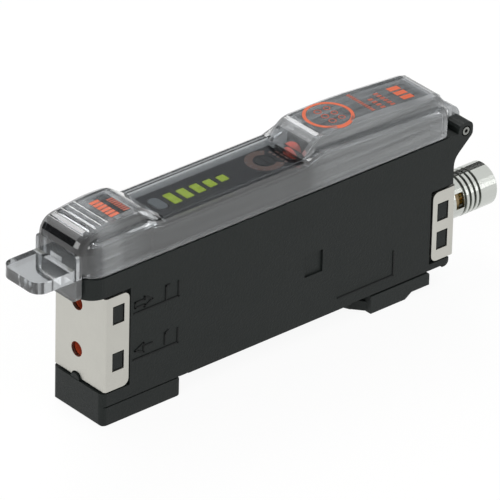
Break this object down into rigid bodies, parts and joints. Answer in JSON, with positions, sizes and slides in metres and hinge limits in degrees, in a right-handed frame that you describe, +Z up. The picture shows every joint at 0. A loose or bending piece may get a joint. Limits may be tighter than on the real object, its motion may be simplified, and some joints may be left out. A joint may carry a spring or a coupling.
{
  "type": "fibre optic sensor amplifier",
  "caption": "Narrow rail-mount fibre optic sensor amplifier with smoky hinged cover, metal end clips, bar display, set key, turning dial, sliding rail latch and round ribbed plug.",
  "frame": {"origin": "middle of the bounding box's bottom, under the rail feet", "axes": "+X along the case from the fibre end to the plug, +Y across the narrow case, +Z up from the rail"},
  "size_m": [0.0856, 0.011, 0.0315],
  "materials": {
    "case_black": "fine grained black moulding",
    "inner_dark": "smooth dark moulding",
    "cover_smoke": "smoky clear plastic, polished",
    "clip_steel": "satin stainless sheet",
    "plug_nickel": "bright nickel plate",
    "lock_red": "red moulding",
    "fascia_blue": "dark printed film on plastic",
    "bar_green": "yellow green light guide",
    "key_grey": "soft grey key",
    "board_green": "circuit board laminate",
    "insulator_brown": "brown moulding",
    "contact_gold": "gold plated brass",
    "seal_black": "black rubber",
    "lamp_red": "red lens",
    "diode_resin": "clear resin"
  },
  "bodies": {
    "housing": {"housing_tub": "case_black", "side_cover": "case_black", "fibre_end_clip": "clip_steel", "plug_end_clip": "clip_steel", "hinge_pin": "plug_nickel", "latch_spring": "clip_steel", "fibre_guide": "inner_dark", "emitter_fibre_bush": "lock_red", "receiver_fibre_bush": "lock_red", "emitter_diode": "diode_resin", "receiver_diode": "diode_resin", "fascia": "fascia_blue", "light_guide": "bar_green", "switching_lamp": "lamp_red", "circuit_board": "board_green", "set_switch": "inner_dark", "trimmer": "inner_dark", "indicator_leds": "bar_green", "plug_shell": "plug_nickel", "plug_seal": "seal_black", "plug_insulator": "insulator_brown", "plug_contacts": "contact_gold"},
    "cover": {"cover": "cover_smoke"},
    "rail_latch": {"rail_latch": "case_black"},
    "set_button": {"set_button": "key_grey"},
    "dial": {"sensitivity_dial": "inner_dark"},
    "fibre_lock": {"fibre_clamp": "lock_red", "lock_button": "inner_dark"}
  },
  "joints": [
    {"name": "cover_hinge", "type": "hinge", "parent": "housing", "child": "cover", "pos_m": [0.03399, 0, 0.02372], "axis": [0, 1, 0], "range_deg": [0, 110]},
    {"name": "rail_latch_slide", "type": "slide", "parent": "housing", "child": "rail_latch", "axis": [1, 0, 0], "range_m": [0, 0.002], "stiffness_N_per_m": 1500, "springref_m": -0.002, "deforming": ["latch_spring"]},
    {"name": "set_button_press", "type": "slide", "parent": "housing", "child": "set_button", "axis": [0, 0, -1], "range_m": [0, 0.0003], "stiffness_N_per_m": 800, "springref_m": -0.0005},
    {"name": "dial_turn", "type": "hinge", "parent": "housing", "child": "dial", "pos_m": [0.00135, 0.0004, 0.0274], "axis": [0, 0, 1], "range_deg": [-135, 135]},
    {"name": "fibre_lock_slide", "type": "slide", "parent": "housing", "child": "fibre_lock", "axis": [0, 0, 1], "range_m": [0, 0.0012]}
  ]
}
